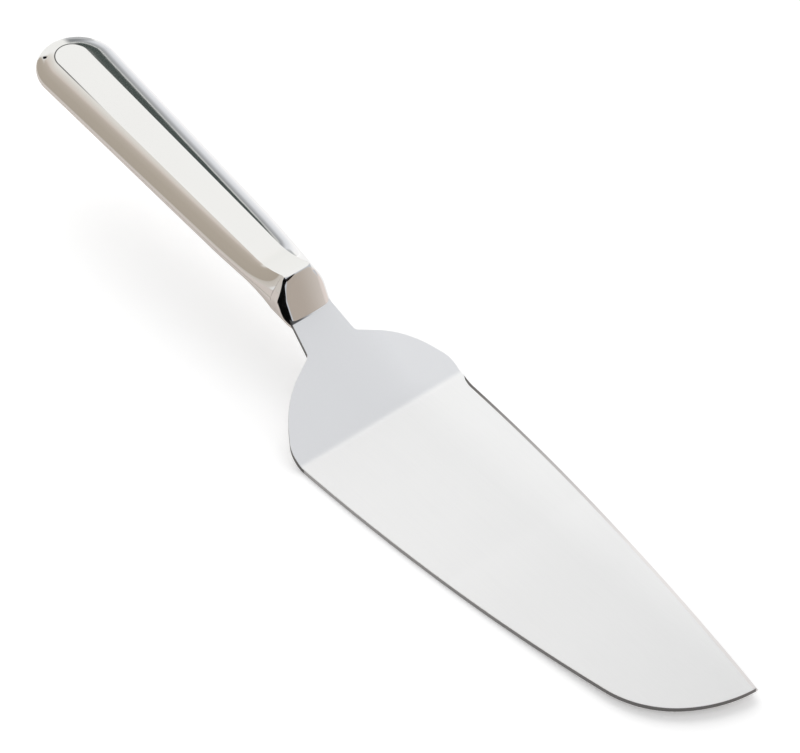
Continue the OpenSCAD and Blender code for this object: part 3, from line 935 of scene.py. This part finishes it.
def shell_tree():
    """A grid laid over the rule of the handle's half section, from the bolster to the round butt."""
    tree = bpy.data.node_groups.new("stamped_half_shell", "GeometryNodeTree")
    tree.interface.new_socket("Geometry", in_out="OUTPUT", socket_type="NodeSocketGeometry")
    for name, _ in SHELL_SIZES:
        tree.interface.new_socket(name, in_out="INPUT", socket_type="NodeSocketFloat")
    tree.interface.new_socket("metal", in_out="INPUT", socket_type="NodeSocketMaterial")
    given = tree.nodes.new("NodeGroupInput")
    size = {name: Wire(tree, given.outputs[name]) for name, _ in SHELL_SIZES}
    columns = 2 * (PROFILE_STEPS + PANEL_STEPS) + 1
    spread = {"Size X": 1.0, "Size Y": 1.0, "Vertices X": SHELL_ROWS, "Vertices Y": columns}
    grid = add(tree, "GeometryNodeMeshGrid", {}, spread)
    grid_x, grid_y, _ = parts(tree, add(tree, "GeometryNodeInputPosition", {}, {}))
    along = grid_x + 0.5
    across = grid_y * 2.0

    land, length = size["crest land"], size["flare length"]
    run = (along / SIDE_ROWS).at_most(1.0)
    share = ((along - SIDE_ROWS) / (1 - SIDE_ROWS)).at_least(0.0)
    back = land + (size["side end"] - land) * run ** ROW_POWER
    on_butt = share > ON_BUTT

    def either(on_side, round_butt):
        return on_side * (1 - on_butt) + round_butt * on_butt

    turn = (math.pi / 2 + size["taper angle"]) * share - size["taper angle"]
    rim_x = either(back, size["butt centre"] + size["butt radius"] * turn.sine())
    waist = (size["narrowing length"] - back) / (size["narrowing length"] - land)
    waist = waist.at_least(0.0).at_most(1.0) ** NARROWING_POWER
    rim_y = either(size["front half width"] + back * size["taper"] - size["narrowing"] * waist,
                   size["butt radius"] * turn.cosine())
    reach = ((back - length) / (size["side end"] - length)).at_least(0.0)
    panel_back = back + (size["panel centre"] - size["side end"]) * reach ** ROW_SHIFT_POWER
    swell = ((length - panel_back) / (length - land)).at_least(0.0).at_most(1.0) ** FLARE_POWER
    widen = ((panel_back - length) / (size["panel centre"] - length)).at_least(0.0)
    panel_side = (size["panel half width"] + (size["panel end half width"] - size["panel half width"]) * widen
                  + (size["crest half width"] - size["panel half width"]) * swell)
    quarter = share * (math.pi / 2)
    panel_x = either(panel_back, size["panel centre"] + size["panel end half width"] * quarter.sine())
    panel_y = either(panel_side, size["panel end half width"] * quarter.cosine())

    profile = PROFILE_STEPS / (PROFILE_STEPS + PANEL_STEPS)
    inwards = 1 - across.size()
    climb = (inwards / profile).at_most(1.0) ** PROFILE_POWER
    on_panel = ((inwards - profile) / (1 - profile)).at_least(0.0)
    gap = ((panel_x - rim_x) ** 2.0 + (panel_y - rim_y) ** 2.0).root()
    half = either(rim_y, size["butt radius"])
    ratio = gap / half
    power = size["side power"] + (size["crest power"] - size["side power"]) * swell
    bulge = (1 - (1 - ratio * climb) ** power) / (1 - (1 - ratio) ** power)
    rise = (size["butt height"] - size["front height"]) * panel_x / size["handle length"]
    height = size["front height"] + rise + (size["crest height"] - size["front height"]) * swell
    far_side = (across > 0.0) * 2.0 - 1.0
    x = rim_x + (panel_x - rim_x) * climb
    y = (rim_y + (panel_y - rim_y) * climb) * (1 - on_panel) * far_side
    z = height * bulge.at_least(0.0) ** (1 / power)
    moved = add(tree, "ShaderNodeCombineXYZ", {}, {"X": -x, "Y": y, "Z": z})
    shaped = add(tree, "GeometryNodeSetPosition", {}, {"Geometry": grid, "Position": moved})
    whole = add(tree, "GeometryNodeMergeByDistance", {}, {"Geometry": shaped, "Distance": SHELL_MERGE})
    real = add(tree, "GeometryNodeRealizeInstances", {}, {"Geometry": whole})
    metal = Wire(tree, given.outputs["metal"])
    coated = add(tree, "GeometryNodeSetMaterial", {}, {"Geometry": real, "Material": metal})
    end = tree.nodes.new("NodeGroupOutput")
    plug(tree, end.inputs[0], coated)
    return tree


SHELL_TREE = shell_tree()


def half_shell(name, heights, end_power, below):
    """One stamped half: the outer skin by the rule, placed on the tilted rim and given its wall."""
    made = new_object(name, bpy.data.meshes.new(name))
    rule = made.modifiers.new("shell", "NODES")
    rule.node_group = SHELL_TREE
    values = dict(SHELL_SIZES)
    values["butt height"], values["front height"], values["crest height"] = heights
    values["crest power"] = end_power
    for item in SHELL_TREE.interface.items_tree:
        if item.item_type == "SOCKET" and item.in_out == "INPUT":
            rule[item.identifier] = POLISHED if item.name == "metal" else float(values[item.name])
    settled(made, name)
    mesh = made.data
    points = np.empty(len(mesh.vertices) * 3)
    mesh.vertices.foreach_get("co", points)
    points = points.reshape(-1, 3)
    local = points.copy()
    if below:
        points[:, 2] *= -1
    points = from_handle(points) / METRE
    mesh.vertices.foreach_set("co", points.ravel())
    mesh.update()
    upward = sum(p.normal.z * p.area for p in mesh.polygons) > 0
    if upward == below:
        mesh.flip_normals()
    mesh.shade_smooth()
    mark_panel(mesh, local, heights)
    wall = made.modifiers.new("wall", "SOLIDIFY")
    wall.thickness = WALL / METRE
    wall.offset = -1.0
    wall.use_even_offset = False
    return settled(made, name)


def mark_panel(mesh, local, heights):
    """Makes the panel's edge a crisp crease."""
    butt, front, crest = heights
    backs = -local[:, 0]
    level = [front + (butt - front) * back / HANDLE_LENGTH + (crest - front) * flare(back) for back in backs]
    flat = np.abs(local[:, 2] - np.array(level)) < PANEL_FLATNESS
    faces_flat = [all(flat[v] for v in p.vertices) for p in mesh.polygons]
    owners = {}
    for f, p in enumerate(mesh.polygons):
        for key in p.edge_keys:
            owners.setdefault(key, []).append(faces_flat[f])
    for edge in mesh.edges:
        sides = owners.get(edge.key, [])
        if len(sides) == 2 and sides[0] != sides[1]:
            edge.use_edge_sharp = True


VENT_SIDES = 40
VENT_START = 0.2


def vent_hole(shell):
    """Drills the small vent down through the upper half, beside the end of the panel."""
    reach = math.sqrt((BUTT_RADIUS - VENT_INSET) ** 2 - VENT_OFFSET ** 2)
    centre = (-BUTT_CENTRE - reach, -VENT_OFFSET)
    points = [(*on_circle(centre, VENT_DIAMETER / 2, 2 * math.pi * i / VENT_SIDES), level)
              for level in (VENT_START, CREST) for i in range(VENT_SIDES)]
    faces = bands(VENT_SIDES, 2)
    faces += [tuple(range(VENT_SIDES))[::-1], tuple(range(VENT_SIDES, 2 * VENT_SIDES))]
    drill = piece("vent_drill", from_handle(points), faces, POLISHED)
    cut = shell.modifiers.new("vent", "BOOLEAN")
    cut.operation = "DIFFERENCE"
    cut.solver = "EXACT"
    cut.object = drill
    settled(shell, shell.name)
    bpy.data.objects.remove(drill)
    return shell


# The object

def dressed(made, node):
    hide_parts(node)
    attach(made, "root")


dressed(serving_blade(), "serving_blade")
dressed(bolster(), "bolster")
upper_half = vent_hole(half_shell("upper_handle_half", UPPER_HEIGHTS, CREST_POWER, below=False))
dressed(upper_half, "upper_handle_shell")
lower_half = half_shell("lower_handle_half", LOWER_HEIGHTS, BELLY_POWER, below=True)
dressed(lower_half, "lower_handle_shell")

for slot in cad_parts["tang_cement"].material_slots:
    slot.material = CEMENT


# Studio, in metres

CARD_BACK = (-0.034, -0.030)
CARD_FRONT = (0.16, -0.075)
CARD_HEIGHT = 0.055
CARD_TONE = 0.004

TABLE_HALF = 1.0
TABLE_TONE = 0.92
TABLE_ROUGHNESS = 0.9
TABLE_GLOW = 0.19
MIRRORED_GLOW = 0.3
# What the metal sees of the table: a painted beige reflection ahead and a painted shade on the near side.
FRONT_PAINTED_REFLECTION = rgb(0.765, 0.683, 0.642)
FRONT_PAINTED_REFLECTION_X = (-0.015, 0.0)
NEAR_PAINTED_SHADE = rgb(0.62, 0.56, 0.52)
NEAR_PAINTED_SHADE_Y = (0.010, -0.004)

WINDOW_PLACE = Vector((-1.0, 0.6, 1.15))
WINDOW_SIZE = 1.6
WINDOW_WATTS = 14

CAMERA_PLACE = Vector((0.48107, -0.38711, 0.64299))
CAMERA_DIRECTION = Vector((-0.5381, 0.4469, -0.7146))
SENSOR_WIDTH = 36.0
LENS_LENGTH = 147.33
CLIP_START = 0.01


def dark_card():
    """A black card beside the bolster that only the polished metal sees."""
    mesh = bpy.data.meshes.new("dark_card")
    corners = [(*CARD_BACK, 0.0), (*CARD_BACK, CARD_HEIGHT), (*CARD_FRONT, CARD_HEIGHT), (*CARD_FRONT, 0.0)]
    mesh.from_pydata(corners, [], [(0, 1, 2, 3)])
    material, _, shader = surface("card_black")
    shader.inputs["Base Color"].default_value = grey(CARD_TONE)
    shader.inputs["Specular IOR Level"].default_value = 0.0
    mesh.materials.append(material)
    made = new_object("dark_card", mesh)
    made.visible_camera = False
    made.visible_shadow = False
    made.visible_diffuse = False


def window():
    """The one lamp, a broad one behind the handle that the metal doesn't mirror."""
    light = bpy.data.lights.new("window", "AREA")
    light.shape = "RECTANGLE"
    light.size, light.size_y = WINDOW_SIZE, WINDOW_SIZE
    light.energy = WINDOW_WATTS
    made = new_object("window", light)
    made.location = WINDOW_PLACE
    made.rotation_euler = (-WINDOW_PLACE).to_track_quat("-Z", "Y").to_euler()
    made.visible_glossy = False


def floor():
    """A pale table that shows white to the camera and keeps the shadows; where metal mirrors it, it carries a
    painted beige reflection ahead and a painted shade on the near side.
    """
    mesh = bpy.data.meshes.new("table")
    corners = [(TABLE_HALF * x, TABLE_HALF * y, 0) for x, y in ((-1, -1), (1, -1), (1, 1), (-1, 1))]
    mesh.from_pydata(corners, [], [(0, 1, 2, 3)])
    material, tree, shader = surface("table_white")
    shader.inputs["Roughness"].default_value = TABLE_ROUGHNESS
    shader.inputs["Specular IOR Level"].default_value = 0.0
    shader.inputs["Emission Color"].default_value = grey(1.0)
    path = tree.nodes.new("ShaderNodeLightPath")
    mirrored = Wire(tree, path.outputs["Is Glossy Ray"])
    x, y, _ = parts(tree, object_place(tree))
    # Painted reflection ahead and painted shade on the near side, seen only by glossy rays.
    tint = blend(tree, x.step(*FRONT_PAINTED_REFLECTION_X), grey(TABLE_TONE), FRONT_PAINTED_REFLECTION)
    tint = blend(tree, y.step(*NEAR_PAINTED_SHADE_Y), tint, NEAR_PAINTED_SHADE)
    plug(tree, shader.inputs["Base Color"], blend(tree, mirrored, grey(TABLE_TONE), tint))
    seen = Wire(tree, path.outputs["Is Camera Ray"]) + MIRRORED_GLOW * mirrored
    plug(tree, shader.inputs["Emission Strength"], seen * TABLE_GLOW)
    mesh.materials.append(material)
    new_object("table", mesh)


# The colours that the polished metal mirrors, by the angle round the handle in degrees.
ROOM = [
    (0, (1.05, 1.05, 1.06)), (14, (1.04, 1.04, 1.05)), (23, (0.946, 0.955, 0.983)),
    (31, (0.848, 0.866, 0.90)), (38, (0.756, 0.77, 0.806)), (40.2, (0.656, 0.671, 0.70)),
    (43.6, (0.47, 0.48, 0.50)), (45.6, (0.38, 0.39, 0.40)), (47.2, (0.38, 0.39, 0.40)),
    (47.8, (0.48, 0.49, 0.49)), (49, (0.93, 0.93, 0.91)), (56.4, (0.97, 0.97, 0.95)),
    (57.2, (0.99, 0.98, 0.96)), (60, (1.0, 1.0, 0.985)), (66, (0.97, 0.97, 0.955)),
    (70, (0.79, 0.765, 0.717)), (74.4, (0.686, 0.62, 0.565)), (76.3, (0.55, 0.486, 0.427)),
    (80, (0.50, 0.445, 0.383)), (90, (0.462, 0.409, 0.346)), (152, (0.44, 0.39, 0.33)),
    (157, (0.58, 0.54, 0.49)), (168, (0.62, 0.58, 0.53)), (180, (0.66, 0.62, 0.58)),
]
ROOM_GLOW = 0.72

# Where the masks of the room start and end: parts of a direction, or degrees round the handle. The bands lie
# in the rear, the gap is the dark line beside the panel, and the bolster's face mirrors the beige.
REAR_X = (-0.22, -0.32)
SIDE_X = (-0.76, -0.63)
SIDE_ANGLES = (73.0, 82.0)
GAP_NEAR_EDGE = (48.9, 49.5)
GAP_FAR_EDGE = (57.2, 56.4)
GAP_X = (-0.30, -0.36)
GAP_END_X = (-0.575, -0.53)
GAP_CORNER_X = (-0.64, -0.58)
GAP_CORNER_Y = (0.46, 0.49)
FRONT_TURN_X = (-0.3, 0.3)
BRIGHT_X = (-0.55, -0.65)
BUTT_X = (-0.60, -0.68)
BUTT_NEAR_Y = (0.455, 0.51)
BUTT_FAR_Y = (0.70, 0.66)
BUTT_ANGLES = (30.0, 40.0)
BEIGE_X = (0.72, 0.82)
BEIGE_Y = (-0.20, -0.12)
BEIGE_RISE_Y = (0.40, 0.60)

BEHIND_LIGHT, AHEAD_GREY = rgb(0.84, 0.84, 0.83), rgb(0.58, 0.60, 0.64)
BRIGHT = rgb(0.97, 0.97, 0.95)
GAP_DARK = rgb(0.07, 0.085, 0.08)
BUTT_PALE, BUTT_DARK = rgb(0.52, 0.53, 0.54), rgb(0.26, 0.27, 0.28)
BEIGE_LOW, BEIGE_HIGH = rgb(0.47, 0.41, 0.36), rgb(0.74, 0.69, 0.65)


def room_colours(tree, x, y, z):
    """What the metal mirrors in one direction: bands round the handle at the rear, plainer colours ahead."""
    round_the_handle = z.angle_from(y).size() / math.pi
    stops = [(angle / 180, rgb(*colour)) for angle, colour in ROOM]
    room = add(tree, "ShaderNodeValToRGB", {"stops": stops}, {"Fac": round_the_handle})
    degrees = round_the_handle * 180.0
    front = blend(tree, x.step(*FRONT_TURN_X), BEHIND_LIGHT, AHEAD_GREY)
    front = blend(tree, x.step(*BRIGHT_X), front, BRIGHT)
    rear = x.step(*REAR_X) * x.step(*SIDE_X).at_least(degrees.step(*SIDE_ANGLES))
    colours = blend(tree, rear, front, room)
    ahead = x.step(*GAP_END_X).at_least(x.step(*GAP_CORNER_X) * y.step(*GAP_CORNER_Y))
    gap = degrees.step(*GAP_NEAR_EDGE) * degrees.step(*GAP_FAR_EDGE) * x.step(*GAP_X) * ahead
    colours = blend(tree, gap, colours, GAP_DARK)
    butt = x.step(*BUTT_X) * y.step(*BUTT_NEAR_Y) * y.step(*BUTT_FAR_Y)
    colours = blend(tree, butt, colours, blend(tree, degrees.step(*BUTT_ANGLES), BUTT_PALE, BUTT_DARK))
    beige = blend(tree, y.step(*BEIGE_RISE_Y), BEIGE_LOW, BEIGE_HIGH)
    return blend(tree, x.step(*BEIGE_X) * y.step(*BEIGE_Y), colours, beige)


def surroundings():
    """A white room, where only what the metal mirrors is coloured."""
    world = bpy.data.worlds.new("white_room")
    world.use_nodes = True
    tree = world.node_tree
    tree.nodes.clear()
    path = tree.nodes.new("ShaderNodeLightPath")
    mirrored = Wire(tree, path.outputs["Is Glossy Ray"])
    seen = Wire(tree, path.outputs["Is Camera Ray"]).at_least(mirrored)
    seen = seen.at_least(Wire(tree, path.outputs["Is Transmission Ray"]))
    way = add(tree, "ShaderNodeTexCoord", {}, {}, "Generated")
    shown = blend(tree, mirrored, grey(1.0), room_colours(tree, *parts(tree, way)))
    strength = ROOM_GLOW + (1 - ROOM_GLOW) * seen
    glow = add(tree, "ShaderNodeBackground", {}, {"Color": shown, "Strength": strength})
    end = tree.nodes.new("ShaderNodeOutputWorld")
    plug(tree, end.inputs["Surface"], glow)
    bpy.context.scene.world = world


def camera():
    lens = bpy.data.cameras.new("view")
    lens.sensor_fit = "HORIZONTAL"
    lens.sensor_width = SENSOR_WIDTH
    lens.lens = LENS_LENGTH
    lens.clip_start = CLIP_START
    made = new_object("view", lens)
    made.location = CAMERA_PLACE
    made.rotation_euler = CAMERA_DIRECTION.to_track_quat("-Z", "Y").to_euler()
    bpy.context.scene.camera = made


floor()
surroundings()
camera()
dark_card()
window()

bpy.context.scene.view_settings.view_transform = "Standard"
